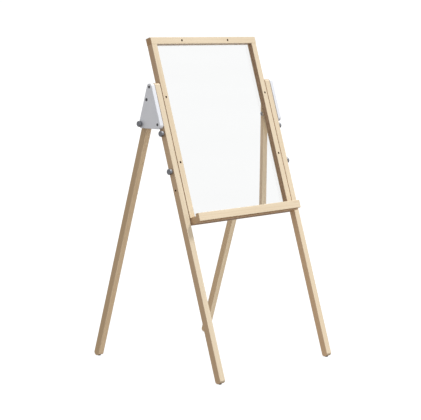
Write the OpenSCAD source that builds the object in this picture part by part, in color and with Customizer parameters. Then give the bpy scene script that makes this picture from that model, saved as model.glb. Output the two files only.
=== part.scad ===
// Folding kids' easel: two fixed front legs, two folding rear legs, white side
// brackets, and a clear drawing board with a pen tray that slides between the
// front legs. Origin on the floor under the apex, X across, Y to the rear, Z up.

/* [Stand] */
// Side of the square timber used for legs, stiles and top rail
stock = 25; // [24:0.5:26]
// Tilt of every leg from the vertical, in degrees
leg_tilt = 17.45; // [16.5:0.05:18.5]
// Height of the point where the leg centre lines cross
apex_h = 1000; // [950:5:1050]
// Radius of the long edges of the timber
edge_r = 1.5; // [0.8:0.1:2.5]
// Gap between each front leg and the board
side_gap = 3; // [2:0.1:3.4]
// Height of a foot glide under the leg
glide_h = 2.5; // [2:0.1:3.5]
// Radius of a foot glide
glide_r = 6; // [5:0.5:7]

/* [Bracket] */
// Thickness of a side bracket
bracket_t = 18; // [16:0.5:20]
// Distance down each leg from the apex to the bracket's lower screws and lock knobs
bracket_drop = 134.5; // [125:0.5:150]
// Distance that the lower corners' centres lie below the screws, along each leg
corner_drop = 3.2; // [0:0.1:4]
// Distance down the rear leg from the apex to its pivot
pivot_drop = 46; // [45:0.5:52]
// Clearance between the bracket and the folding leg
fold_gap = 0.6; // [0.5:0.1:1]

/* [Board] */
// Outside width of the board frame
board_w = 538; // [534:1:560]
// Height of the board's top edge above the apex, along the legs
board_up = 175; // [150:5:200]
// Depth of the stiles' lower ends below the apex, along the legs
board_down = 470.5; // [450:0.5:490]
// Thickness of the clear panel
panel_t = 3; // [2.5:0.5:4]
// Depth of the rebate from the rear face
rebate_d = 7; // [6.5:0.5:8]
// Width of the rebate
rebate_w = 8; // [7:0.5:9]

/* [Tray] */
// Width of the pen tray
tray_w = 530; // [480:5:534]
// Thickness of the tray's base, which is also the board's bottom rail
tray_t = 25; // [22:0.5:28]
// Distance that the tray's base stands out in front of the board
tray_reach = 25; // [20:1:40]
// Thickness of the tray's lip
lip_t = 15; // [10:0.5:16]
// Height of the tray's lip
lip_h = 29; // [26:1:32]
// Height of the lip's lower edge above the underside of the base
lip_rise = 4.5; // [0:0.5:5]

/* [Knobs and holes] */
// Radius of a knob's head
knob_r = 10.25; // [9:0.25:12]
// Height of a knob, neck included
knob_h = 14; // [13:0.1:16]
// Distance of the upper knobs below the apex, along the leg
knob_drop = 167; // [160:1:180]
// Spacing between the upper and the lower knobs
knob_pitch = 135; // [125:5:140]
// Distance from the lower knob to the spare hole
spare_pitch = 67; // [60:1:75]
// How far the board can be lowered
board_travel = 65; // [40:5:65]
// Radius of the peg holes in the board's front
peg_r = 3.5; // [2.5:0.25:3.5]
// Depth of the peg holes
peg_depth = 12; // [8:0.5:12]
// Distance of the top rail's peg holes from the middle
peg_x = 118; // [100:1:140]

/* [Hidden] */
wood = [0.88, 0.79, 0.65];
wood_b = [0.84, 0.74, 0.59];
paint = [0.93, 0.93, 0.95];
knob_grey = [0.5, 0.51, 0.53];
steel = [0.72, 0.73, 0.75];
dark = [0.28, 0.28, 0.3];

half = stock / 2;
board_x = board_w / 2;                  // board's side face
leg_in = board_x + side_gap;            // front leg's inner face
leg_out = leg_in + stock;               // front leg's outer face
leg_mid = (leg_in + leg_out) / 2;
bracket_out = leg_out + bracket_t;
rear_out = leg_out - fold_gap;          // rear leg's outer face
rear_in = rear_out - stock;
rear_mid = rear_out - half;
foot_z = -(apex_h - half - glide_h) / cos(leg_tilt);   // centre of a rounded foot, along the leg
foot_y = (apex_h - half - glide_h) * tan(leg_tilt);    // the same point's distance from the middle
end_r = half + 0.2;                     // radius of the rounded leg ends

stile_in = board_x - stock;             // stile's inner face
rail_z = board_up - stock;              // underside of the top rail
panel_y = half - rebate_d;              // front face of the panel
bead_t = rebate_d - panel_t;            // thickness of a bead
sill_z = -board_down;                   // top of the tray's base
base_z = sill_z - tray_t;               // underside of the tray
lip_z = base_z + lip_rise;              // underside of the lip
peg_zs = [-41, -274];                   // peg holes in the stiles, along the leg
knob_zs = [-knob_drop, -knob_drop - knob_pitch];
spare_z = -knob_drop - knob_pitch - spare_pitch;

stud_r = 3;
stud_hole_r = 3.1;
slot_r = 3.3;                           // half width of the T slot's mouth
slot_lip = 3;                           // thickness of the T slot's lips
slot_nut = 12;                          // side of a square T nut
slot_wide = slot_nut / 2 + 0.6;         // half width of the T slot's cavity
slot_deep = 5.2;                        // depth of the T slot's cavity
screw_r = 2;                            // wood screw, plain shank
screw_head = 4.5;
bolt_head = 5.2;
e = 0.05;                               // radial clearance round a fixed screw or dowel

// ---------------------------------------------------------------- helpers
module front_frame() translate([0, 0, apex_h]) rotate([-leg_tilt, 0, 0]) children();
module rear_frame() translate([0, 0, apex_h]) rotate([leg_tilt, 0, 0]) children();
module side(s) if (s > 0) children(); else mirror([1, 0, 0]) children();
module rod_x(r, x0, x1, fn = 48) translate([x0, 0, 0]) rotate([0, 90, 0]) cylinder(r = r, h = x1 - x0, $fn = fn);
module rod_y(r, y0, y1, fn = 48) translate([0, y0, 0]) rotate([-90, 0, 0]) cylinder(r = r, h = y1 - y0, $fn = fn);
module rod_z(r, z0, z1, fn = 48) translate([0, 0, z0]) cylinder(r = r, h = z1 - z0, $fn = fn);

// rectangle with rounded corners, from arcs and squares
module round_rect(a0, a1, b0, b1, r) {
    translate([a0 + r, b0]) square([a1 - a0 - 2 * r, b1 - b0]);
    translate([a0, b0 + r]) square([a1 - a0, b1 - b0 - 2 * r]);
    for (a = [a0 + r, a1 - r], b = [b0 + r, b1 - r]) translate([a, b]) circle(r = r, $fn = 32);
}
module bar_z(x0, x1, y0, y1, z0, z1, r) translate([0, 0, z0]) linear_extrude(z1 - z0) round_rect(x0, x1, y0, y1, r);
module bar_x(x0, x1, y0, y1, z0, z1, r) translate([x0, 0, 0]) rotate([90, 0, 90]) linear_extrude(x1 - x0) round_rect(y0, y1, z0, z1, r);
module box(x0, x1, y0, y1, z0, z1) translate([x0, y0, z0]) cube([x1 - x0, y1 - y0, z1 - z0]);

// leg blank along Z with both ends rounded in side view
module leg_blank(x0, x1, z0, z1) intersection() {
    bar_z(x0, x1, -half, half, z0 - stock, z1 + stock, edge_r);
    union() {
        box(x0 - 1, x1 + 1, -stock, stock, z0, z1);
        translate([0, 0, z0]) rod_x(end_r, x0 - 1, x1 + 1, 96);
        translate([0, 0, z1]) rod_x(end_r, x0 - 1, x1 + 1, 96);
    }
}
// countersunk screw along +X: its head's face is at x = 0, the shank runs to -l
module csk_screw(head, r, l, socket) difference() {
    union() {
        rod_x(r, -l, 0);
        translate([-(head - r), 0, 0]) rotate([0, 90, 0]) cylinder(r1 = r, r2 = head, h = head - r, $fn = 48);
    }
    rotate([0, 90, 0]) translate([0, 0, -1.8]) cylinder(r = socket, h = 3, $fn = 6);
}
module csk_hole(head, r, l) {
    rod_x(r + e * 2, -l, 2);
    translate([-(head - r), 0, 0]) rotate([0, 90, 0]) cylinder(r1 = r + e, r2 = head + e, h = head - r, $fn = 48);
    rod_x(head + e, -0.01, 2);
}

// ---------------------------------------------------------------- stand
function on_front(a) = [-a * sin(leg_tilt), apex_h - a * cos(leg_tilt)];
function on_rear(a) = [a * sin(leg_tilt), apex_h - a * cos(leg_tilt)];
module at_yz(p) translate([0, p[0], p[1]]) children();

module glide_nail(x, y) translate([x, y, 0]) rod_z(1.2 + e, 0, 17);

module front_leg(s) color(wood) side(s) difference() {
    front_frame() difference() {
        leg_blank(leg_in, leg_out, foot_z, 0);
        for (z = concat(knob_zs, [spare_z])) translate([0, 0, z]) rod_x(stud_hole_r, leg_in - 1, leg_out + 1);
        for (z = [0, -bracket_drop]) translate([0, 0, z]) rod_x(screw_r + e, leg_out - 18, leg_out + 1);
    }
    glide_nail(leg_mid, -foot_y);
}

module rear_leg(s) color(wood) side(s) difference() {
    rear_frame() difference() {
        leg_blank(rear_in, rear_out, foot_z, -pivot_drop);
        translate([0, 0, -pivot_drop]) rod_x(stud_r + e, rear_in - 1, rear_out + 1);
        // notch that hooks on the lock stud and opens to the rear
        translate([0, 0, -bracket_drop]) rod_x(stud_hole_r, rear_in - 1, rear_out + 1);
        translate([rear_in - 1, 0, -pivot_drop]) rotate([0, 90, 0]) rotate_extrude(angle = 14, $fn = 96)
            translate([bracket_drop - pivot_drop - stud_hole_r, 0]) square([2 * stud_hole_r, stock + 2]);
    }
    glide_nail(rear_mid, foot_y);
}

module glide(x, y) translate([x, y, 0]) difference() {
    union() {
        rod_z(glide_r, 0.6, glide_h + 1.4);
        cylinder(r1 = glide_r - 0.6, r2 = glide_r, h = 0.6, $fn = 48);
        rod_z(1.2, 0.5, 16);
    }
    difference() {
        translate([0, 0, glide_h + half]) rod_x(end_r, -10, 10, 96);
        rod_z(1.2, 0, 16);
    }
}
module front_glides() color(dark) for (s = [-1, 1]) glide(s * leg_mid, -foot_y);
module rear_glide(s) color(dark) glide(s * rear_mid, foot_y);

// bracket outline: round corners on the leg centre lines, joined by their tangents
function arc(c, a0, a1, n) = [for (i = [0:n]) let (a = a0 + (a1 - a0) * i / n) c + half * [cos(a), sin(a)]];
module bracket_outline() polygon(concat(
    arc(on_front(0), 180 - leg_tilt, leg_tilt, 36),
    arc(on_rear(bracket_drop + corner_drop), leg_tilt, -90, 27),
    arc(on_front(bracket_drop + corner_drop), 270, 180 - leg_tilt, 27)));
module bracket(s) color(paint) side(s) difference() {
    translate([leg_out, 0, 0]) rotate([90, 0, 90]) linear_extrude(bracket_t) bracket_outline();
    for (a = [0, bracket_drop]) at_yz(on_front(a)) translate([bracket_out - 0.3, 0, 0]) csk_hole(screw_head, screw_r, bracket_t + 2);
    at_yz(on_rear(pivot_drop)) translate([bracket_out - 0.3, 0, 0]) csk_hole(bolt_head, stud_r, bracket_t + 2);
    at_yz(on_rear(bracket_drop)) rod_x(stud_hole_r, leg_out - 1, bracket_out + 1);
}
module bracket_screws() color(dark) for (s = [-1, 1], a = [0, bracket_drop])
    side(s) at_yz(on_front(a)) translate([bracket_out - 0.3, 0, 0]) csk_screw(screw_head, screw_r, 35, 1.75);
module pivot_bolts() color(dark) for (s = [-1, 1])
    side(s) at_yz(on_rear(pivot_drop)) translate([bracket_out - 0.3, 0, 0]) csk_screw(bolt_head, stud_r, bracket_out - 0.3 - (rear_in - 6.4), 2.3);
module pivot_washers() color(steel) for (s = [-1, 1])
    side(s) at_yz(on_rear(pivot_drop)) difference() {
        rod_x(8, leg_out - fold_gap + 0.15, leg_out);
        rod_x(stud_r + e, leg_out - 2, leg_out + 1);
    }
// flanged nut on the inner side of the rear leg
module flange_nut(flange) difference() {
    union() {
        rod_x(flange, rear_in - 1.8, rear_in - 0.3);
        rod_x(5.77, rear_in - 6.2, rear_in - 1.5, 6);
    }
    rod_x(stud_r + e, rear_in - 8, rear_in + 1);
}
module pivot_nuts() color(steel) for (s = [-1, 1]) side(s) at_yz(on_rear(pivot_drop)) flange_nut(7);
module lock_nuts() color(steel) for (s = [-1, 1]) side(s) at_yz(on_rear(bracket_drop)) flange_nut(9);

// ---------------------------------------------------------------- board
module pin_holes_z(s) for (z = [-440, -160, 120]) translate([0, 10.5, z]) rod_x(0.75 + e, stile_in - 1, stile_in + 15);

// T slot in a stile's side for one knob, with an entry pocket at its top
module slot(z) {
    box(board_x - slot_lip - 1, board_x + 1, -slot_r, slot_r, z, z + board_travel + 16);
    translate([0, 0, z]) rod_x(slot_r, board_x - slot_lip - 1, board_x + 1);
    box(board_x - slot_lip - slot_deep, board_x - slot_lip, -slot_wide, slot_wide, z - slot_wide, z + board_travel + 16);
    translate([0, 0, z + board_travel + 16]) rod_x(slot_wide + 2.5, board_x - slot_lip - slot_deep, board_x + 1);
}
module stile(s) color(wood_b) side(s) front_frame() difference() {
    bar_z(stile_in, board_x, -half, half, -board_down, rail_z, edge_r);
    box(stile_in - 1, stile_in + rebate_w, panel_y, half + 1, -board_down - 1, rail_z + 1);
    for (z = peg_zs) translate([board_x - half, 0, z]) rod_y(peg_r, -half - 1, -half + peg_depth);
    for (z = knob_zs) slot(z);
    pin_holes_z(s);
    // screws at both ends
    translate([board_x - half, 0, 0]) rod_z(screw_r + e, rail_z - 36, rail_z + 1);
    translate([board_x - 10.5, 0, 0]) rod_z(screw_r + e, -board_down - 1, -board_down + 36);
}
module rail_pin_holes(z) for (x = [-160, 0, 160]) translate([x, 10.5, z]) rod_z(0.75 + e, -15, 15);
module top_rail() color(wood_b) front_frame() difference() {
    bar_x(-board_x, board_x, -half, half, rail_z, board_up, edge_r);
    box(-stile_in - rebate_w, stile_in + rebate_w, panel_y, half + 1, rail_z - 1, rail_z + rebate_w);
    for (x = [-peg_x, peg_x]) translate([x, 0, board_up - half]) rod_y(peg_r, -half - 1, -half + peg_depth);
    for (s = [-1, 1]) translate([s * (board_x - half), 0, 0]) {
        rod_z(screw_r + e, rail_z - 1, board_up + 1);
        translate([0, 0, board_up - 0.3]) rotate([0, -90, 0]) csk_hole(screw_head, screw_r, 4);
    }
    rail_pin_holes(rail_z + 1);
}
module clear_panel() color([0.85, 0.93, 0.95, 0.3]) front_frame()
    box(-stile_in - rebate_w + 1, stile_in + rebate_w - 1, panel_y, panel_y + panel_t, sill_z - rebate_w + 1, rail_z + rebate_w - 1);
module bead_top() color(wood) front_frame() difference() {
    box(-stile_in - rebate_w + 0.2, stile_in + rebate_w - 0.2, half - bead_t + e, half, rail_z, rail_z + rebate_w - 0.2);
    rail_pin_holes(rail_z + 1);
}
module bead_bottom() color(wood) front_frame() difference() {
    box(-stile_in - rebate_w + 0.2, stile_in + rebate_w - 0.2, half - bead_t + e, half, sill_z - rebate_w + 0.2, sill_z);
    translate([0, 0, -1]) rail_pin_holes(sill_z);
}
module bead_side(s) color(wood) side(s) front_frame() difference() {
    box(stile_in, stile_in + rebate_w - 0.2, half - bead_t + e, half, sill_z + 0.2, rail_z - 0.2);
    pin_holes_z(s);
}
module bead_pins() color(steel) front_frame() {
    for (s = [-1, 1], z = [-440, -160, 120]) side(s) translate([0, 10.5, z]) rod_x(0.75, stile_in - 0.4, stile_in + 14, 24);
    for (x = [-160, 0, 160]) {
        translate([x, 10.5, 0]) rod_z(0.75, rail_z - 0.4, rail_z + 14, 24);
        translate([x, 10.5, 0]) rod_z(0.75, sill_z - 14, sill_z + 0.4, 24);
    }
}
module frame_screws() color(dark) front_frame() for (s = [-1, 1])
    translate([s * (board_x - half), 0, board_up - 0.3]) rotate([0, -90, 0]) csk_screw(screw_head, screw_r, stock + 35, 1.75);

// ---------------------------------------------------------------- tray
tray_xs = [-tray_w / 2, tray_w / 2];
lip_y = -half - tray_reach;             // rear face of the lip
dowel_z = base_z + tray_t / 2;
module tray_base() color(wood) front_frame() difference() {
    bar_x(tray_xs[0], tray_xs[1], lip_y, half, base_z, sill_z, 1.5);
    // rebate for the panel's lower edge and its bead
    box(-stile_in - rebate_w, stile_in + rebate_w, panel_y, half + 1, sill_z - rebate_w, sill_z + 1);
    for (s = [-1, 1]) translate([s * (board_x - 10.5), 0, base_z + 0.3]) rotate([0, 90, 0]) csk_hole(screw_head, screw_r, tray_t + 2);
    for (x = [-210, -70, 70, 210]) translate([x, 0, dowel_z]) rod_y(3 + e, lip_y - 1, lip_y + 14);
    translate([0, 0, -1]) rail_pin_holes(sill_z);
}
module tray_lip() color(wood_b) front_frame() difference() {
    bar_x(tray_xs[0], tray_xs[1], lip_y - lip_t, lip_y, lip_z, lip_z + lip_h, 2);
    for (x = [-210, -70, 70, 210]) translate([x, 0, dowel_z]) rod_y(3 + e, lip_y - 10, lip_y + 1);
}
module tray_screws() color(dark) front_frame() for (s = [-1, 1])
    translate([s * (board_x - 10.5), 0, base_z + 0.3]) rotate([0, 90, 0]) csk_screw(screw_head, screw_r, tray_t + 34, 1.75);
module lip_dowels() color(wood) front_frame() for (x = [-210, -70, 70, 210])
    translate([x, 0, dowel_z]) rod_y(3, lip_y - 9.5, lip_y + 13);

// ---------------------------------------------------------------- knobs
// round knob: narrow neck against the timber, head with a chamfered rim and a shallow dished face
module knob(x0) translate([x0, 0, 0]) rotate([0, 90, 0]) rotate_extrude($fn = 96) polygon([
    [stud_r + 0.02, 0], [6, 0], [5.4, 0.6], [5.4, 4.2], [knob_r - 0.8, 4.2], [knob_r, 5], [knob_r, knob_h - 1.2],
    [knob_r - 1.2, knob_h], [knob_r - 2.6, knob_h], [knob_r - 3.1, knob_h - 0.5],
    [0, knob_h - 0.5], [0, knob_h - 2.5], [stud_r + 0.02, knob_h - 2.5]]);

module board_knob(s, z) color(knob_grey) side(s) front_frame() translate([0, 0, z]) knob(leg_out + 0.3);
module board_stud(s, z) color(steel) side(s) front_frame() translate([0, 0, z]) rod_x(stud_r, board_x - slot_lip - slot_deep + 0.6, leg_out + 0.3 + knob_h - 2.7);
module lock_knob(s) color(knob_grey) side(s) at_yz(on_rear(bracket_drop)) knob(bracket_out + 0.3);
module lock_stud(s) color(steel) side(s) at_yz(on_rear(bracket_drop)) rod_x(stud_r, rear_in - 7.2, bracket_out + 0.3 + knob_h - 2.7);

module slot_nuts() color(steel) for (s = [-1, 1], z = knob_zs) side(s) front_frame() translate([0, 0, z]) difference() {
    box(board_x - slot_lip - slot_deep + 0.4, board_x - slot_lip - 0.2, -slot_nut / 2, slot_nut / 2, -slot_nut / 2, slot_nut / 2);
    rod_x(stud_r + e, board_x - 20, board_x);
}
module spacer_washers() color(dark) for (s = [-1, 1], z = knob_zs) side(s) front_frame() translate([0, 0, z]) difference() {
    rod_x(7, board_x + 0.3, leg_in);
    rod_x(stud_hole_r, board_x - 1, leg_in + 1);
}

// ---------------------------------------------------------------- drawing
front_leg(-1);  // front_leg_left
front_leg(1);  // front_leg_right
bracket(-1);  // bracket_left
bracket(1);  // bracket_right
bracket_screws();
pivot_bolts();
pivot_washers();
pivot_nuts();
lock_nuts();
slot_nuts();
spacer_washers();
front_glides();
rear_leg(-1);  // rear_leg_left
rear_leg(1);  // rear_leg_right
rear_glide(-1);  // rear_glide_left
rear_glide(1);  // rear_glide_right
top_rail();
stile(-1);  // stile_left
stile(1);  // stile_right
clear_panel();
bead_top();
bead_bottom();
bead_side(-1);  // bead_left
bead_side(1);  // bead_right
bead_pins();
frame_screws();
tray_base();
tray_lip();
tray_screws();
lip_dowels();
board_knob(-1, knob_zs[0]);  // board_knob_upper_left
board_stud(-1, knob_zs[0]);  // board_stud_upper_left
board_knob(-1, knob_zs[1]);  // board_knob_lower_left
board_stud(-1, knob_zs[1]);  // board_stud_lower_left
board_knob(1, knob_zs[0]);  // board_knob_upper_right
board_stud(1, knob_zs[0]);  // board_stud_upper_right
board_knob(1, knob_zs[1]);  // board_knob_lower_right
board_stud(1, knob_zs[1]);  // board_stud_lower_right
lock_knob(-1);  // lock_knob_left
lock_stud(-1);  // lock_stud_left
lock_knob(1);  // lock_knob_right
lock_stud(1);  // lock_stud_right
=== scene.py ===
import math

import bmesh
import bpy
from mathutils import Euler, Matrix, Vector
from mathutils.geometry import tessellate_polygon


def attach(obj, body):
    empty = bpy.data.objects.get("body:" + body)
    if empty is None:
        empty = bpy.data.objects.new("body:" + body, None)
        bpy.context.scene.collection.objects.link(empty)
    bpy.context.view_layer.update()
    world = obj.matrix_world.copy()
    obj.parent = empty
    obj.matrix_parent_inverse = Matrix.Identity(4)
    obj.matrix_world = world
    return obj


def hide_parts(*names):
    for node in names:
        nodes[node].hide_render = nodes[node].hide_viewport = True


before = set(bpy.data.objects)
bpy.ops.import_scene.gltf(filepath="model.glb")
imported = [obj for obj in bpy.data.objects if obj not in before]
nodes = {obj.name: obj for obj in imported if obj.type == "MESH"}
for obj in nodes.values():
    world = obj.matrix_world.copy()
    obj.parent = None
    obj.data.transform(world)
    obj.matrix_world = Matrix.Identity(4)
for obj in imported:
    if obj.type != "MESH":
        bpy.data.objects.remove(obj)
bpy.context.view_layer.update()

MM = 0.001
TILT = math.radians(17.45)
APEX = Vector((0, 0, 1.0))
R_FRONT = Matrix.Rotation(-TILT, 3, "X")      # front-leg frame -> row frame
R_REAR = Matrix.Rotation(TILT, 3, "X")        # rear-leg frame -> row frame


def front(x, y, z):
    """A point given in millimetres in the front legs' frame."""
    return APEX + R_FRONT @ (Vector((x, y, z)) * MM)


def rear(x, y, z):
    return APEX + R_REAR @ (Vector((x, y, z)) * MM)


def on_front(a):
    return Vector((-a * math.sin(TILT), 1000 - a * math.cos(TILT)))


def on_rear(a):
    return Vector((a * math.sin(TILT), 1000 - a * math.cos(TILT)))


# ------------------------------------------------------------------ node helpers
class Tree:
    def __init__(self, tree):
        self.t = tree
        tree.nodes.clear()

    def new(self, kind, **props):
        n = self.t.nodes.new(kind)
        for k, v in props.items():
            setattr(n, k, v)
        return n

    def put(self, socket, value):
        if isinstance(value, bpy.types.NodeSocket):
            self.t.links.new(value, socket)
        elif value is not None:
            socket.default_value = value

    def math(self, op, a, b=None, c=None, clamp=False):
        n = self.new("ShaderNodeMath", operation=op, use_clamp=clamp)
        for i, v in enumerate((a, b, c)):
            if v is not None:
                self.put(n.inputs[i], v)
        return n.outputs[0]

    def vmath(self, op, a, b=None, out=0):
        n = self.new("ShaderNodeVectorMath", operation=op)
        self.put(n.inputs[0], a)
        if b is not None:
            self.put(n.inputs[1], b)
        return n.outputs[out]

    def sep(self, v):
        n = self.new("ShaderNodeSeparateXYZ")
        self.put(n.inputs[0], v)
        return n.outputs

    def comb(self, x=0.0, y=0.0, z=0.0):
        n = self.new("ShaderNodeCombineXYZ")
        for i, v in enumerate((x, y, z)):
            self.put(n.inputs[i], v)
        return n.outputs[0]

    def noise(self, vec, scale=1.0, detail=2.0, rough=0.5, distortion=0.0):
        n = self.new("ShaderNodeTexNoise")
        self.put(n.inputs["Vector"], vec)
        n.inputs["Scale"].default_value = scale
        n.inputs["Detail"].default_value = detail
        n.inputs["Roughness"].default_value = rough
        n.inputs["Distortion"].default_value = distortion
        return n.outputs[0]

    def scaled(self, vec, s, offset=(0, 0, 0)):
        n = self.new("ShaderNodeMapping")
        self.put(n.inputs["Vector"], vec)
        n.inputs["Scale"].default_value = s
        n.inputs["Location"].default_value = offset
        return n.outputs[0]

    def step(self, v, a, b, c=0.0, d=1.0, smooth=True):
        n = self.new("ShaderNodeMapRange", interpolation_type="SMOOTHSTEP" if smooth else "LINEAR")
        self.put(n.inputs["Value"], v)
        for name, x in (("From Min", a), ("From Max", b), ("To Min", c), ("To Max", d)):
            n.inputs[name].default_value = x
        return n.outputs[0]

    def mix(self, fac, a, b, mode="MIX"):
        n = self.new("ShaderNodeMix", data_type="RGBA", blend_type=mode)
        n.clamp_factor = True
        self.put(n.inputs[0], fac)
        self.put(n.inputs[6], a)
        self.put(n.inputs[7], b)
        return n.outputs[2]

    def bump(self, height, strength, distance, normal=None):
        n = self.new("ShaderNodeBump")
        n.inputs["Strength"].default_value = strength
        n.inputs["Distance"].default_value = distance
        self.put(n.inputs["Height"], height)
        if normal is not None:
            self.put(n.inputs["Normal"], normal)
        return n.outputs[0]


def material(name):
    m = bpy.data.materials.new(name)
    m.use_nodes = True
    t = Tree(m.node_tree)
    out = t.new("ShaderNodeOutputMaterial")
    bsdf = t.new("ShaderNodeBsdfPrincipled")
    t.t.links.new(bsdf.outputs[0], out.inputs["Surface"])
    return m, t, bsdf, out


def rgb(r, g, b):
    return (r, g, b, 1.0)


# ------------------------------------------------------------------ timber
# painted shade for side faces: their colour is multiplied by this darker, warmer tone
SIDE_PAINTED_SHADE = (0.79, 0.675, 0.58)


def timber(name, rot, centre, half, seed, tone=1.0, warm=0.0, ends=1.0, side_shade_k=(1, 1, 1), underside_shade_k=(0.82, 0.71, 0.60), front_shade_k=None, inner=0, holes=()):
    """Pale close-grained timber. rot is the 3x3 matrix from the member's frame (Z along the grain) to the row
    frame, centre its middle in the row frame, half its half section in metres along the member's X and Y.
    holes lists bored holes as (centre, axis, radius, depth from the centre): painted shade, a very dark brown, fills
    them."""
    m, t, bsdf, out = material(name)
    inv = rot.transposed()
    tc = t.new("ShaderNodeTexCoord")
    mp = t.new("ShaderNodeMapping")
    t.put(mp.inputs["Vector"], tc.outputs["Object"])
    mp.inputs["Rotation"].default_value = inv.to_euler("XYZ")
    mp.inputs["Location"].default_value = -(inv @ centre)
    q = mp.outputs[0]
    s = float(seed)
    x, y, z = t.sep(q)

    # growth rings about a pith line outside the section, wandering slowly along the length
    a = s * 2.399
    pith = (math.cos(a) * 0.034, math.sin(a) * 0.034, 0.0)
    wander = t.noise(t.scaled(q, (22, 22, 1.7), (s * 3.1, s * 1.7, s)), 1.0, 2.0, 0.5)
    ripple = t.noise(t.scaled(q, (160, 160, 9.0), (s, s * 2.3, s * 1.1)), 1.0, 2.0, 0.55)
    off = t.vmath("SUBTRACT", t.comb(x, y, 0.0), pith)
    dist = t.vmath("LENGTH", off, out=1)
    dist = t.math("ADD", dist, t.math("MULTIPLY", wander, 0.011))
    dist = t.math("ADD", dist, t.math("MULTIPLY", ripple, 0.0007))
    rings = t.math("FRACT", t.math("DIVIDE", dist, 0.0027))
    late = t.math("MULTIPLY", t.step(rings, 0.45, 0.9), t.step(rings, 0.92, 1.0, 1.0, 0.0))

    # fibres, pores and short dark flecks, all stretched along the grain
    fibre = t.noise(t.scaled(q, (950, 950, 13), (s * 5, s * 2, s)), 1.0, 3.0, 0.6)
    pores = t.noise(t.scaled(q, (3100, 3100, 95), (s, s * 3, s * 2)), 1.0, 2.0, 0.5)
    fleck = t.noise(t.scaled(q, (820, 820, 210), (s * 7, s, s * 4)), 1.0, 1.0, 0.5)
    flecks = t.step(fleck, 0.66, 0.74)
    broad = t.noise(t.scaled(q, (16, 16, 1.3), (s * 2, s * 9, s)), 1.0, 3.0, 0.55)

    light = rgb(0.755 * tone, (0.640 - 0.02 * warm) * tone, (0.470 - 0.05 * warm) * tone)
    mid = rgb(0.695 * tone, (0.570 - 0.02 * warm) * tone, (0.400 - 0.05 * warm) * tone)
    dark = rgb(0.560 * tone, 0.415 * tone, 0.255 * tone)
    col = t.mix(t.step(broad, 0.32, 0.68), light, mid)
    col = t.mix(t.math("MULTIPLY", t.step(fibre, 0.40, 0.72), 0.34), col, mid)
    col = t.mix(t.math("MULTIPLY", late, 0.26), col, dark)
    col = t.mix(t.math("MULTIPLY", t.step(pores, 0.60, 0.74), 0.22), col, dark)
    col = t.mix(t.math("MULTIPLY", flecks, 0.30), col, dark)

    # side faces get painted shade, a darker and warmer tone; cut ends are darker and show the rings
    n = tc.outputs["Normal"]
    nx = t.math("ABSOLUTE", t.sep(n)[0])
    along = t.math("ABSOLUTE", t.vmath("DOT_PRODUCT", n, tuple(rot @ Vector((0, 0, 1))), out=1))
    side = t.mix(t.step(nx, 0.35, 0.9), rgb(1, 1, 1), rgb(*(min(1.0, c * k) for c, k in zip(SIDE_PAINTED_SHADE, side_shade_k))))
    col = t.mix(1.0, col, side, "MULTIPLY")
    # painted shade on faces turned downward: their colour is multiplied by the underside values
    col = t.mix(t.step(t.sep(n)[2], -0.95, -0.5, 1.0, 0.0), col, t.mix(1.0, col, rgb(*underside_shade_k), "MULTIPLY"))
    endc = t.mix(t.math("MULTIPLY", late, 0.55), rgb(0.80, 0.72, 0.62), rgb(0.60, 0.48, 0.36))
    col = t.mix(t.math("MULTIPLY", t.step(along, 0.55, 0.9), ends), col, t.mix(1.0, col, endc, "MULTIPLY"))

    # painted shade on the faces turned to the side given by inner: the right stile's inner wall
    if inner:
        facing = t.math("MULTIPLY", t.sep(n)[0], float(inner))
        col = t.mix(t.step(facing, 0.35, 0.9), col, t.mix(1.0, col, rgb(0.54, 0.47, 0.40), "MULTIPLY"))
    # painted shade on faces turned to the front: the tray base's front under the lip and the left rear leg's front
    if front_shade_k:
        front_shade_mask = t.vmath("DOT_PRODUCT", n, tuple(rot @ Vector((0, -1, 0))), out=1)
        col = t.mix(t.step(front_shade_mask, 0.5, 0.9), col, t.mix(1.0, col, rgb(*front_shade_k), "MULTIPLY"))

    # handled edges: the section's corners are rubbed a little smoother and paler
    ex = t.step(t.math("ABSOLUTE", x), half[0] - 0.0026, half[0] - 0.0004)
    ey = t.step(t.math("ABSOLUTE", y), half[1] - 0.0026, half[1] - 0.0004)
    edge = t.math("MULTIPLY", ex, ey)
    rub = t.math("MULTIPLY", edge, t.step(broad, 0.35, 0.6, 0.25, 1.0))
    col = t.mix(t.math("MULTIPLY", rub, 0.28), col, rgb(0.80, 0.70, 0.54))

    # painted shade within bored holes: a very dark brown, varied by the fibre noise
    for hc, ha, hr, hd in holes:
        rel = t.vmath("SUBTRACT", tc.outputs["Object"], tuple(hc))
        deep = t.vmath("DOT_PRODUCT", rel, tuple(ha), out=1)
        far = t.vmath("LENGTH", rel, out=1)
        rad = t.math("SQRT", t.math("MAXIMUM", t.math("SUBTRACT", t.math("MULTIPLY", far, far), t.math("MULTIPLY", deep, deep)), 0.0))
        hole_painted_shade = t.math("MULTIPLY", t.step(rad, hr + 0.0003, hr + 0.0010, 1.0, 0.0), t.step(t.math("ABSOLUTE", deep), hd, hd + 0.0004, 1.0, 0.0))
        col = t.mix(hole_painted_shade, col, t.mix(fibre, rgb(0.085, 0.032, 0.012), rgb(0.13, 0.052, 0.022)))

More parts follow.
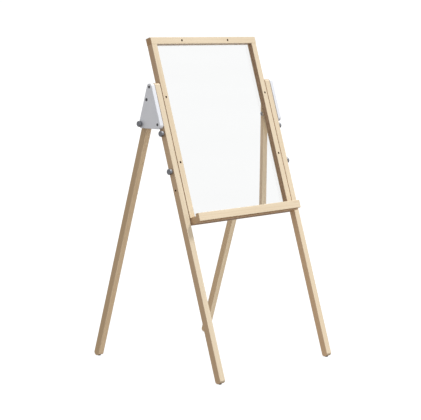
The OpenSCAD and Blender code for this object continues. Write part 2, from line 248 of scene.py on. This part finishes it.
    t.put(bsdf.inputs["Base Color"], col)
    r = t.math("ADD", 0.44, t.math("MULTIPLY", fibre, 0.16))
    r = t.math("ADD", r, t.math("MULTIPLY", rub, -0.10))
    t.put(bsdf.inputs["Roughness"], t.math("ADD", r, t.math("MULTIPLY", flecks, 0.05), clamp=True))
    h = t.math("ADD", t.math("MULTIPLY", fibre, 0.55), t.math("MULTIPLY", pores, -0.35))
    h = t.math("ADD", h, t.math("MULTIPLY", late, 0.18))
    h = t.math("ADD", h, t.math("MULTIPLY", flecks, -0.2))
    t.put(bsdf.inputs["Normal"], t.bump(h, 0.32, 0.00018))
    bsdf.inputs["IOR"].default_value = 1.48
    bsdf.inputs["Specular IOR Level"].default_value = 0.42
    bsdf.inputs["Coat Weight"].default_value = 0.12
    bsdf.inputs["Coat Roughness"].default_value = 0.32
    return m


LONG_X = Matrix(((0, 0, 1), (0, 1, 0), (-1, 0, 0)))   # member frame with Z along the row's X


def lacquer():
    """White sprayed lacquer on a routed board: faint orange peel, a touch of grain ghosting, softened rims."""
    m, t, bsdf, out = material("white_lacquer")
    o = t.new("ShaderNodeTexCoord").outputs["Object"]
    peel = t.noise(t.scaled(o, (420, 420, 420)), 1.0, 2.0, 0.5)
    cloud = t.noise(t.scaled(o, (28, 28, 28)), 1.0, 3.0, 0.6)
    ghost = t.noise(t.scaled(o, (700, 700, 26)), 1.0, 2.0, 0.5)
    col = t.mix(t.step(cloud, 0.3, 0.7), rgb(0.735, 0.752, 0.798), rgb(0.712, 0.729, 0.774))
    col = t.mix(t.math("MULTIPLY", t.step(ghost, 0.55, 0.8), 0.12), col, rgb(0.70, 0.71, 0.74))
    x, y, z = t.sep(o)
    seam_painted_shade = t.step(t.math("ABSOLUTE", x), 0.2988, 0.2996, 1.0, 0.0)      # painted shade line along the crease where the board lies against the leg
    col = t.mix(t.math("MULTIPLY", seam_painted_shade, 0.9), col, rgb(0.16, 0.11, 0.075))
    # dark grey painted round each screw head, out to about a millimetre past its countersink
    for c, rr in ((on_front(0), 0.0046), (on_front(134.5), 0.0046), (on_rear(46.0), 0.0053)):
        away = t.vmath("LENGTH", t.vmath("SUBTRACT", t.comb(0.0, y, z), (0.0, c.x * MM, c.y * MM)), out=1)
        screw_dark_ring = t.step(away, rr + 0.0005, rr + 0.0010, 1.0, 0.0)
        col = t.mix(t.math("MULTIPLY", screw_dark_ring, 0.85), col, rgb(0.14, 0.14, 0.15))
    t.put(bsdf.inputs["Base Color"], col)
    t.put(bsdf.inputs["Roughness"], t.math("ADD", 0.34, t.math("MULTIPLY", cloud, 0.16)))
    h = t.math("ADD", t.math("MULTIPLY", peel, 0.8), t.math("MULTIPLY", ghost, 0.25))
    t.put(bsdf.inputs["Normal"], t.bump(h, 0.16, 0.00016))
    bsdf.inputs["IOR"].default_value = 1.5
    bsdf.inputs["Coat Weight"].default_value = 0.15
    bsdf.inputs["Coat Roughness"].default_value = 0.25
    return m


def turned_metal(name, base, rough, groove=0.00034, metallic=1.0):
    """Turned satin metal: fine rings about the piece's own axis (local Z) and tiny scratches."""
    m, t, bsdf, out = material(name)
    o = t.new("ShaderNodeTexCoord").outputs["Object"]
    x, y, z = t.sep(o)
    rad = t.vmath("LENGTH", t.comb(x, y, 0.0), out=1)
    fine = t.noise(t.comb(t.math("MULTIPLY", rad, 1.0 / groove), t.math("MULTIPLY", z, 1.0 / groove), 0.0), 1.0, 2.0, 0.7)
    smear = t.noise(t.scaled(o, (260, 260, 260)), 1.0, 3.0, 0.6)
    scratch = t.noise(t.scaled(o, (5200, 380, 900)), 1.0, 1.0, 0.5)
    a, b = rgb(*(c * 1.08 for c in base)), rgb(*(c * 0.86 for c in base))
    col = t.mix(t.step(smear, 0.3, 0.7), a, b)
    col = t.mix(t.math("MULTIPLY", t.step(fine, 0.45, 0.7), 0.22), col, rgb(*(c * 0.62 for c in base)))
    col = t.mix(t.math("MULTIPLY", t.step(scratch, 0.68, 0.76), 0.25), col, rgb(*(min(1, c * 1.5) for c in base)))
    t.put(bsdf.inputs["Base Color"], col)
    t.put(bsdf.inputs["Roughness"], t.math("ADD", rough, t.math("MULTIPLY", smear, 0.14)))
    t.put(bsdf.inputs["Normal"], t.bump(fine, 0.22, 0.00006))
    bsdf.inputs["Metallic"].default_value = metallic
    return m


def dark_plating():
    m, t, bsdf, out = material("dark_plating")
    o = t.new("ShaderNodeTexCoord").outputs["Object"]
    smear = t.noise(t.scaled(o, (900, 900, 900)), 1.0, 3.0, 0.6)
    col = t.mix(t.step(smear, 0.35, 0.7), rgb(0.100, 0.100, 0.110), rgb(0.080, 0.080, 0.088))
    t.put(bsdf.inputs["Base Color"], col)
    t.put(bsdf.inputs["Roughness"], t.math("ADD", 0.50, t.math("MULTIPLY", smear, 0.14)))
    t.put(bsdf.inputs["Normal"], t.bump(smear, 0.15, 0.00005))
    bsdf.inputs["Metallic"].default_value = 0.1
    return m


def dark_plastic():
    m, t, bsdf, out = material("glide_plastic")
    o = t.new("ShaderNodeTexCoord").outputs["Object"]
    grain = t.noise(t.scaled(o, (2600, 2600, 2600)), 1.0, 2.0, 0.5)
    scuff = t.noise(t.scaled(o, (380, 380, 90)), 1.0, 3.0, 0.6)
    low = t.step(t.sep(o)[2], 0.0, 0.0012, 1.0, 0.0)
    worn = t.math("MULTIPLY", low, t.step(scuff, 0.4, 0.65))
    col = t.mix(worn, rgb(0.052, 0.045, 0.040), rgb(0.20, 0.185, 0.17))
    t.put(bsdf.inputs["Base Color"], col)
    t.put(bsdf.inputs["Roughness"], t.math("ADD", 0.48, t.math("MULTIPLY", worn, 0.3)))
    t.put(bsdf.inputs["Normal"], t.bump(grain, 0.2, 0.00008))
    return m


def zinc():
    m, t, bsdf, out = material("zinc_plate")
    o = t.new("ShaderNodeTexCoord").outputs["Object"]
    spangle = t.noise(t.scaled(o, (420, 420, 420)), 1.0, 3.0, 0.65)
    brush = t.noise(t.scaled(o, (60, 4200, 4200)), 1.0, 2.0, 0.5)
    col = t.mix(t.step(spangle, 0.35, 0.65), rgb(0.60, 0.61, 0.63), rgb(0.50, 0.51, 0.54))
    t.put(bsdf.inputs["Base Color"], col)
    t.put(bsdf.inputs["Roughness"], t.math("ADD", 0.26, t.math("MULTIPLY", brush, 0.2)))
    t.put(bsdf.inputs["Normal"], t.bump(brush, 0.12, 0.00004))
    bsdf.inputs["Metallic"].default_value = 1.0
    return m


def acrylic():
    """Clear sheet, lamps shine through it."""
    m, t, bsdf, out = material("clear_acrylic")
    o = t.new("ShaderNodeTexCoord").outputs["Object"]
    haze = t.noise(t.scaled(o, (9, 9, 9)), 1.0, 3.0, 0.6)
    rub = t.noise(t.scaled(o, (1400, 90, 1400)), 1.0, 2.0, 0.5)
    bsdf.inputs["Base Color"].default_value = rgb(0.985, 0.99, 0.99)
    bsdf.inputs["Transmission Weight"].default_value = 1.0
    bsdf.inputs["IOR"].default_value = 1.6
    t.put(bsdf.inputs["Roughness"], t.math("MULTIPLY", t.math("MULTIPLY", t.step(haze, 0.5, 0.8), t.step(rub, 0.6, 0.8)), 0.03))
    clear = t.new("ShaderNodeBsdfTransparent")
    clear.inputs[0].default_value = rgb(0.55, 0.55, 0.55)
    far = t.new("ShaderNodeBsdfTransparent")
    far.inputs[0].default_value = rgb(0.985, 0.99, 0.99)
    back = t.new("ShaderNodeNewGeometry").outputs["Backfacing"]
    inner = t.new("ShaderNodeMixShader")
    t.put(inner.inputs[0], back)
    t.put(inner.inputs[1], bsdf.outputs[0])
    t.put(inner.inputs[2], far.outputs[0])
    lp = t.new("ShaderNodeLightPath")
    mixer = t.new("ShaderNodeMixShader")
    t.put(mixer.inputs[0], lp.outputs["Is Shadow Ray"])
    t.put(mixer.inputs[1], inner.outputs[0])
    t.put(mixer.inputs[2], clear.outputs[0])
    t.put(out.inputs["Surface"], mixer.outputs[0])
    return m


# ------------------------------------------------------------------ mesh helpers
def make_object(name, bm, mats, smooth=30):
    mesh = bpy.data.meshes.new(name)
    bmesh.ops.recalc_face_normals(bm, faces=bm.faces)
    bm.to_mesh(mesh)
    bm.free()
    for mat in mats:
        mesh.materials.append(mat)
    obj = bpy.data.objects.new(name, mesh)
    bpy.context.scene.collection.objects.link(obj)
    mesh.shade_smooth()
    mesh.set_sharp_from_angle(angle=math.radians(smooth))
    return obj


def fillet(profile, radii, steps=5):
    """A polyline of (r, z) with its inner corners rounded by the given radii."""
    pts = [Vector(p) for p in profile]
    out = [pts[0]]
    for i in range(1, len(pts) - 1):
        p, a, b = pts[i], pts[i - 1], pts[i + 1]
        u, v = (a - p), (b - p)
        lu, lv = u.length, v.length
        u.normalize(), v.normalize()
        ang = u.angle(v)
        r = radii[i] if i < len(radii) else 0
        if r <= 0 or ang > 3.13:
            out.append(p)
            continue
        d = min(r / math.tan(ang / 2), lu * 0.49, lv * 0.49)
        r = d * math.tan(ang / 2)
        c = p + (u + v).normalized() * (r / math.sin(ang / 2))
        s, e = p + u * d, p + v * d
        a0 = math.atan2((s - c).y, (s - c).x)
        a1 = math.atan2((e - c).y, (e - c).x)
        da = (a1 - a0 + math.pi) % (2 * math.pi) - math.pi
        for k in range(steps + 1):
            w = a0 + da * k / steps
            out.append(c + Vector((math.cos(w), math.sin(w))) * r)
    out.append(pts[-1])
    return out


def lathe(bm, profile, segs, mat=0):
    """Turns a profile of (r, z), in metres, about Z. Points on the axis close the solid."""
    rows = []
    for r, z in profile:
        if r < 1e-7:
            rows.append([bm.verts.new((0, 0, z))])
        else:
            rows.append([bm.verts.new((r * math.cos(2 * math.pi * k / segs), r * math.sin(2 * math.pi * k / segs), z)) for k in range(segs)])
    for a, b in zip(rows, rows[1:]):
        for k in range(segs):
            j = (k + 1) % segs
            if len(a) == 1 and len(b) == 1:
                continue
            if len(a) == 1:
                f = bm.faces.new((a[0], b[k], b[j]))
            elif len(b) == 1:
                f = bm.faces.new((a[k], a[j], b[0]))
            else:
                f = bm.faces.new((a[k], a[j], b[j], b[k]))
            f.material_index = mat
    return rows


def place(obj, origin, axis):
    """Puts a piece made about its local Z at origin, with that Z along axis."""
    z = Vector(axis).normalized()
    x = Vector((0, 0, 1)) if abs(z.z) < 0.9 else Vector((0, 1, 0))
    x = (x - z * x.dot(z)).normalized()
    y = z.cross(x)
    obj.matrix_world = Matrix.Translation(origin) @ Matrix((x, y, z)).transposed().to_4x4()
    return obj


def paint(node, mat, bevel=0.0005, segs=2):
    """Gives a carried-over CAD node its material, clean welded shading and broken edges."""
    o = nodes[node]
    o.data.materials.clear()
    o.data.materials.append(mat)
    w = o.modifiers.new("weld", "WELD")
    w.merge_threshold = 2e-6
    if bevel:
        b = o.modifiers.new("broken_edge", "BEVEL")
        b.width = bevel
        b.segments = segs
        b.limit_method = "ANGLE"
        b.angle_limit = math.radians(50)
        b.miter_outer = "MITER_ARC"
        b.use_clamp_overlap = True
        b.harden_normals = False
    n = o.modifiers.new("normals", "WEIGHTED_NORMAL")
    n.keep_sharp = True
    n.weight = 60
    for p in o.data.polygons:
        p.use_smooth = True
    return o


# ------------------------------------------------------------------ timber members
LEG = (0.0125, 0.0125)
IN_Y = R_FRONT @ Vector((0, 1, 0))
AXIS_X = Vector((1, 0, 0))
for side, sx in (("left", -1), ("right", 1)):
    k = 1 if sx < 0 else 2
    bores = [(front(sx * 284.5, 0, z), AXIS_X, 0.0031, 0.0126) for z in (-167, -302, -369)]
    pegs = [(front(sx * 256.5, -6.5, z), IN_Y, 0.0035, 0.0061) for z in (-41, -274)]
    # the tone, warm and side values differ from leg to leg as painted light and shade: the rear legs and the right legs
    # are painted lighter, the left front leg darker, and inner paints shade on the right stile's inner wall
    paint(f"front_leg_{side}", timber(f"timber_front_leg_{side}", R_FRONT, front(sx * 284.5, 0, -520), LEG, 3.7 + k, 0.93 if sx < 0 else 1.0, side_shade_k=(1.06, 1.05, 1.04) if sx < 0 else (1.20, 1.18, 1.17), holes=bores))
    paint(f"rear_leg_{side}", timber(f"timber_rear_leg_{side}", R_REAR, rear(sx * 283.9, 0, -520), LEG, 11.3 + k, 1.11 if sx < 0 else 1.28, 0.7 if sx < 0 else 0.4, side_shade_k=(0.85, 0.88, 0.91) if sx < 0 else (0.86, 0.88, 0.88), front_shade_k=(0.99, 0.94, 0.91) if sx < 0 else None))
    paint(f"stile_{side}", timber(f"timber_stile_{side}", R_FRONT, front(sx * 256.5, 0, -160), LEG, 21.9 + k, 0.98, side_shade_k=(0.93, 0.92, 0.95), inner=0 if sx < 0 else -1, holes=pegs))
    paint(f"bead_{side}", timber(f"timber_bead_{side}", R_FRONT, front(sx * 248, 10.5, -150), (0.004, 0.002), 31.1 + k, 0.97, 0.2), 0.0004)
RX = R_FRONT @ LONG_X
top_pegs = [(front(x, -6.5, 162.5), IN_Y, 0.0035, 0.0061) for x in (-118, 118)]
# the top rail's and the tray's underside values, and the tray base's front values, are painted shade
paint("top_rail", timber("timber_top_rail", RX, front(0, 0, 162.5), LEG, 41.3, 0.98, underside_shade_k=(0.55, 0.47, 0.42), holes=top_pegs))
paint("bead_top", timber("timber_bead_top", RX, front(0, 10.5, 154), (0.004, 0.002), 45.2, 0.97, 0.2), 0.0004)
paint("bead_bottom", timber("timber_bead_bottom", RX, front(0, 10.5, -474.5), (0.004, 0.002), 47.7, 0.97, 0.2), 0.0004)
paint("tray_base", timber("timber_tray_base", RX, front(0, -12.5, -483), (0.0125, 0.025), 51.4, 1.0, ends=0.12, underside_shade_k=(0.72, 0.54, 0.38), front_shade_k=(0.80, 0.64, 0.50)), 0.0015, 4)
paint("tray_lip", timber("timber_tray_lip", RX, front(0, -45, -476.5), (0.0145, 0.0075), 55.8, 1.0, ends=0.2, underside_shade_k=(0.82, 0.63, 0.47)), 0.001, 3)
paint("lip_dowels", timber("timber_lip_dowels", R_FRONT @ Matrix.Rotation(math.radians(90), 3, "X"), front(0, -40, -483), (0.003, 0.003), 63.0, 0.95), 0.0003)

LACQUER = lacquer()
KNOB = turned_metal("satin_knob_metal", (0.290, 0.298, 0.322), 0.40)
SCREW = dark_plating()
PLASTIC = dark_plastic()
ZINC = zinc()
CLEAR = acrylic()

for n in ("front_glides", "rear_glide_left", "rear_glide_right"):
    paint(n, PLASTIC, 0.0003)
paint("spacer_washers", PLASTIC, 0.0002)
for n in ("pivot_washers", "pivot_nuts", "lock_nuts", "slot_nuts", "bead_pins"):
    paint(n, ZINC, 0.0002)
for n in nodes:
    if n.startswith(("board_stud", "lock_stud")):
        paint(n, ZINC, 0.0003)

# ------------------------------------------------------------------ side brackets
HALF = 12.5
DROP = 134.5
PIVOT = 46.0
T = 18.0
CORNER = 3.2
X0, X1 = 297.0, 315.0


def bracket(side, sx):
    """Routed board: the outline and every hole are strips swept through the thickness, with rounded rims."""
    bm = bmesh.new()
    deg = 17.45

    def outline(inset):
        pts = []
        for c, a0, a1, n in ((on_front(0), 180 - deg, deg, 40), (on_rear(DROP + CORNER), deg, -90, 30), (on_front(DROP + CORNER), 270, 180 - deg, 30)):
            for i in range(n + 1):
                w = math.radians(a0 + (a1 - a0) * i / n)
                pts.append(c + Vector((math.cos(w), math.sin(w))) * (HALF - inset))
        return pts

    def ring(c, r, n=40):
        return [c + Vector((math.cos(2 * math.pi * i / n), math.sin(2 * math.pi * i / n))) * r for i in range(n)]

    def verts(pts, x):
        return [bm.verts.new((sx * x * MM, p.x * MM, p.y * MM)) for p in pts]

    def strip(rows):
        for a, b in zip(rows, rows[1:]):
            n = len(a)
            for i in range(n):
                j = (i + 1) % n
                bm.faces.new((a[i], a[j], b[j], b[i]))

    R, S = 1.6, 7
    outer = []
    for k in range(S + 1):                      # inner face's rim
        w = math.pi / 2 * k / S
        outer.append((1.5 * (1 - math.sin(w)), X0 + 1.5 * (1 - math.cos(w))))
    for k in range(S + 1):                      # outer face's rim
        w = math.pi / 2 * k / S
        outer.append((R * (1 - math.cos(w)), X1 - R * (1 - math.sin(w))))
    rows = [verts(outline(i), x) for i, x in outer]
    strip(rows)
    inner_caps, outer_caps = [rows[0]], [rows[-1]]
    holes = [(on_front(0), 2.1, 4.62), (on_front(DROP), 2.1, 4.62), (on_rear(PIVOT), 3.05, 5.32), (on_rear(DROP), 3.1, None)]
    for c, r, head in holes:
        prof = [(r + 0.25, X0), (r + 0.08, X0 + 0.08), (r, X0 + 0.25)]
        if head is None:
            prof += [(r, X1 - 0.4), (r + 0.12, X1 - 0.12), (r + 0.4, X1)]
        else:
            z = X1 - 0.3 - (head - r)
            prof += [(r, z), (head, X1 - 0.42), (head + 0.06, X1 - 0.22), (head + 0.18, X1 - 0.06), (head + 0.36, X1)]
        hr = [verts(ring(c, q), x) for q, x in prof]
        strip(hr)
        inner_caps.append(hr[0])
        outer_caps.append(hr[-1])
    for caps in (inner_caps, outer_caps):
        loops = [[Vector((v.co.y, v.co.z, 0)) for v in loop] for loop in caps]
        flat = [v for loop in caps for v in loop]
        for tri in tessellate_polygon(loops):
            try:
                bm.faces.new([flat[i] for i in tri])
            except ValueError:
                pass
    o = make_object(f"side_bracket_{side}", bm, [LACQUER], 40)
    flat = {}                                   # the two broad faces stay flat up to their rims
    for p in o.data.polygons:
        for key in p.edge_keys:
            flat.setdefault(key, []).append(abs(p.normal.x) > 0.99995)
    for e in o.data.edges:
        if len(set(flat[e.key])) == 2:
            e.use_edge_sharp = True
    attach(o, "stand")
    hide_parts(f"bracket_{side}")
    return o


def screws(name, spots, node, head, shank, length, socket, body):
    """Countersunk screws with a hexagon socket: every head is turned, its socket sunk in with six flats."""
    bm = bmesh.new()
    for origin, axis in spots:
        part = bmesh.new()
        segs = 48
        depth = 0.9 * MM
        s = socket * MM
        h, r = head * MM, shank * MM
        prof = fillet([(h, -0.15 * MM), (r, -(h - r) - 0.15 * MM), (r, -length * MM), (0, -length * MM)], [0, 0.4 * MM, 0.3 * MM, 0], 4)
        top = fillet([(s * 1.16, 0), (h - 0.1 * MM, 0), (h, -0.15 * MM)], [0, 0.12 * MM, 0], 3)
        rows = lathe(part, [tuple(p) for p in top] + [tuple(p) for p in prof[1:]], segs)
        mouth = rows[0]
        # the socket: a round chamfer runs into a hexagon, then straight down to a dished floor
        def hexa(k, scale):
            w = 2 * math.pi * k / segs
            c = s / max(math.cos((w + math.pi / 6) % (math.pi / 3) - math.pi / 6), 1e-6) * math.cos(math.pi / 6)
            return c * scale * math.cos(w), c * scale * math.sin(w)
        prev = mouth
        for scale, z in ((1.0, -0.12 * MM), (0.99, -depth)):
            cur = [part.verts.new((*hexa(k, scale), z)) for k in range(segs)]
            for k in range(segs):
                j = (k + 1) % segs
                part.faces.new((prev[k], prev[j], cur[j], cur[k]))
            prev = cur
        tip = part.verts.new((0, 0, -depth - 0.45 * MM))
        for k in range(segs):
            part.faces.new((prev[k], prev[(k + 1) % segs], tip))
        z = Vector(axis).normalized()
        x = Vector((0, 0, 1)) if abs(z.z) < 0.9 else Vector((0, 1, 0))
        x = (x - z * x.dot(z)).normalized()
        m = Matrix.Translation(origin) @ Matrix((x, z.cross(x), z)).transposed().to_4x4()
        bmesh.ops.transform(part, matrix=m, verts=part.verts)
        tmp = bpy.data.meshes.new("tmp")
        part.to_mesh(tmp)
        part.free()
        bm.from_mesh(tmp)
        bpy.data.meshes.remove(tmp)
    o = make_object(name, bm, [SCREW], 35)
    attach(o, body)
    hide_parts(node)
    return o


def yz(x, p):
    return Vector((x, p.x, p.y)) * MM


FACE = X1 - 0.3
for side, sx in (("left", -1), ("right", 1)):
    bracket(side, sx)
screws("socket_screws_bracket", [(yz(sx * FACE, on_front(a)), (sx, 0, 0)) for sx in (-1, 1) for a in (0, DROP)], "bracket_screws", 4.5, 2.0, 34.8, 1.75, "stand")
screws("pivot_bolts_socket", [(yz(sx * FACE, on_rear(PIVOT)), (sx, 0, 0)) for sx in (-1, 1)], "pivot_bolts", 5.2, 3.0, FACE - (271.4 - 6.4), 2.3, "stand")
UP = R_FRONT @ Vector((0, 0, 1))
screws("socket_screws_frame", [(front(sx * 256.5, 0, 174.7), UP) for sx in (-1, 1)], "frame_screws", 4.5, 2.0, 59.8, 1.75, "board")
DOWN = -UP
screws("socket_screws_tray", [(front(sx * 258.5, 0, -495.2), DOWN) for sx in (-1, 1)], "tray_screws", 4.5, 2.0, 58.8, 1.75, "board")


# ------------------------------------------------------------------ knobs
def knob(name, node, origin, axis, body):
    """Turned knob: narrow neck, head with rolled rims, shallow dished face with a turned centre."""
    R, H = 10.25, 14.0
    prof = [(0, 0), (5.8, 0), (5.2, 0.9), (5.2, 4.2), (R - 1.0, 4.2), (R, 5.1), (R, H - 1.3), (R - 1.2, H), (R - 2.5, H), (R - 3.2, H - 0.55), (1.6, H - 0.75), (0.0, H - 0.62)]
    rad = [0, 0.2, 0.5, 0.5, 0.5, 0.6, 0.7, 0.6, 0.5, 0.8, 1.0, 0]
    pts = fillet(prof, rad, 5)
    bm = bmesh.new()
    lathe(bm, [(p.x * MM, p.y * MM) for p in pts], 96)
    o = make_object(name, bm, [KNOB], 40)
    place(o, origin, axis)
    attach(o, body)
    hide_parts(node)
    return o


for side, sx in (("left", -1), ("right", 1)):
    for level, z in (("upper", -167), ("lower", -302)):
        knob(f"turned_knob_{level}_{side}", f"board_knob_{level}_{side}", front(sx * 297.3, 0, z), (sx, 0, 0), f"board_knob_{level}_{side}_body")
    knob(f"turned_lock_knob_{side}", f"lock_knob_{side}", yz(sx * 315.3, on_rear(DROP)), (sx, 0, 0), f"lock_knob_{side}_body")


# ------------------------------------------------------------------ clear sheet
def sheet_panel():
    bm = bmesh.new()
    x, za, zb, ya, yb = 251.0, -477.5, 157.0, 5.5, 8.5
    c = 0.35
    rows = []
    for y, i in ((ya, c), (ya + c * 0.3, c * 0.3), (ya + c, 0), (yb - c, 0), (yb - c * 0.3, c * 0.3), (yb, c)):
        rows.append([bm.verts.new(front(*p)) for p in ((-x + i, y, za + i), (x - i, y, za + i), (x - i, y, zb - i), (-x + i, y, zb - i))])
    for a, b in zip(rows, rows[1:]):
        for k in range(4):
            bm.faces.new((a[k], a[(k + 1) % 4], b[(k + 1) % 4], b[k]))
    bm.faces.new(rows[0])
    bm.faces.new(rows[-1])
    o = make_object("clear_drawing_sheet", bm, [CLEAR], 20)
    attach(o, "board")
    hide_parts("clear_panel")
    return o


sheet_panel()

# ------------------------------------------------------------------ floor, light, camera
floor_mesh = bpy.data.meshes.new("studio_floor")
G, S = 24, 120.0
bm = bmesh.new()
grid = [[bm.verts.new((-S + 2 * S * i / G, -S + 2 * S * j / G, -0.0002)) for j in range(G + 1)] for i in range(G + 1)]
for i in range(G):
    for j in range(G):
        bm.faces.new((grid[i][j], grid[i + 1][j], grid[i + 1][j + 1], grid[i][j + 1]))
bm.to_mesh(floor_mesh)
bm.free()
floor = bpy.data.objects.new("studio_floor", floor_mesh)
bpy.context.scene.collection.objects.link(floor)
fm, ft, fb, fo = material("studio_paper")
fo_ = ft.new("ShaderNodeTexCoord").outputs["Object"]
ft.put(fb.inputs["Base Color"], ft.mix(ft.noise(ft.scaled(fo_, (1.3, 1.3, 1.3)), 1.0, 3.0), rgb(0.13, 0.13, 0.13), rgb(0.11, 0.11, 0.11)))
fb.inputs["Roughness"].default_value = 0.9
fb.inputs["Specular IOR Level"].default_value = 0.1
fb.inputs["Emission Color"].default_value = rgb(1, 1, 1)
flp = ft.new("ShaderNodeLightPath")                         # paper lit from below, so that it stays evenly pale
ft.put(fb.inputs["Emission Strength"], ft.math("SUBTRACT", 0.94, ft.math("MULTIPLY", flp.outputs["Is Transmission Ray"], 0.15)))
floor_mesh.materials.append(fm)
floor.visible_diffuse = False
floor.visible_glossy = False

scene = bpy.context.scene
scene.view_settings.view_transform = "Standard"
world = bpy.data.worlds.new("studio")
scene.world = world
world.use_nodes = True
wt = Tree(world.node_tree)
wo = wt.new("ShaderNodeOutputWorld")
d = wt.new("ShaderNodeTexCoord").outputs["Generated"]
# soft box all round: a little stronger from the front and above, dim and warm from below
base = wt.math("ADD", 0.742, wt.vmath("DOT_PRODUCT", d, (0.02, -0.14, 0.12), out=1))
low = wt.step(wt.sep(d)[2], -0.95, -0.15, 1.0, 0.0)
chan = []
for w in (0.75, 0.85, 0.92):
    chan.append(wt.math("MULTIPLY", base, wt.math("SUBTRACT", 1.0, wt.math("MULTIPLY", low, w))))
sky = wt.new("ShaderNodeBackground")
wt.put(sky.inputs[0], wt.comb(*chan))
seen = wt.new("ShaderNodeBackground")
seen.inputs[0].default_value = rgb(1, 1, 1)
lp = wt.new("ShaderNodeLightPath")
through = wt.math("MULTIPLY", lp.outputs["Is Transmission Ray"], wt.math("LESS_THAN", lp.outputs["Diffuse Depth"], 0.5))
wt.put(seen.inputs[1], wt.math("SUBTRACT", 1.05, wt.math("MULTIPLY", through, 0.09)))
wm = wt.new("ShaderNodeMixShader")
wt.put(wm.inputs[0], wt.math("MAXIMUM", lp.outputs["Is Camera Ray"], through))
wt.put(wm.inputs[1], sky.outputs[0])
wt.put(wm.inputs[2], seen.outputs[0])
wt.put(wo.inputs[0], wm.outputs[0])

sun = bpy.data.lights.new("key", "SUN")
sun.energy = math.pi * 0.72
sun.angle = math.radians(9)
sun_o = bpy.data.objects.new("key", sun)
scene.collection.objects.link(sun_o)
sun_o.rotation_mode = "QUATERNION"
sun_o.rotation_quaternion = Vector((0.42, -0.284, 0.865)).normalized().to_track_quat("Z", "Y")

cam = bpy.data.cameras.new("camera")
cam_o = bpy.data.objects.new("camera", cam)
scene.collection.objects.link(cam_o)
AZ, EL = math.radians(45.957), math.radians(7.287)
F_PX = 1395.43
cam.sensor_width = 36.0
cam.lens = F_PX / 421 * 36.0
fwd = Vector((math.sin(AZ) * math.cos(EL), math.cos(AZ) * math.cos(EL), -math.sin(EL)))
cam_o.location = (-3.63622, -3.50668, 1.18975)
cam_o.rotation_mode = "QUATERNION"
cam_o.rotation_quaternion = (-fwd).to_track_quat("Z", "Y")
cam.clip_start, cam.clip_end = 0.1, 500
scene.camera = cam_o
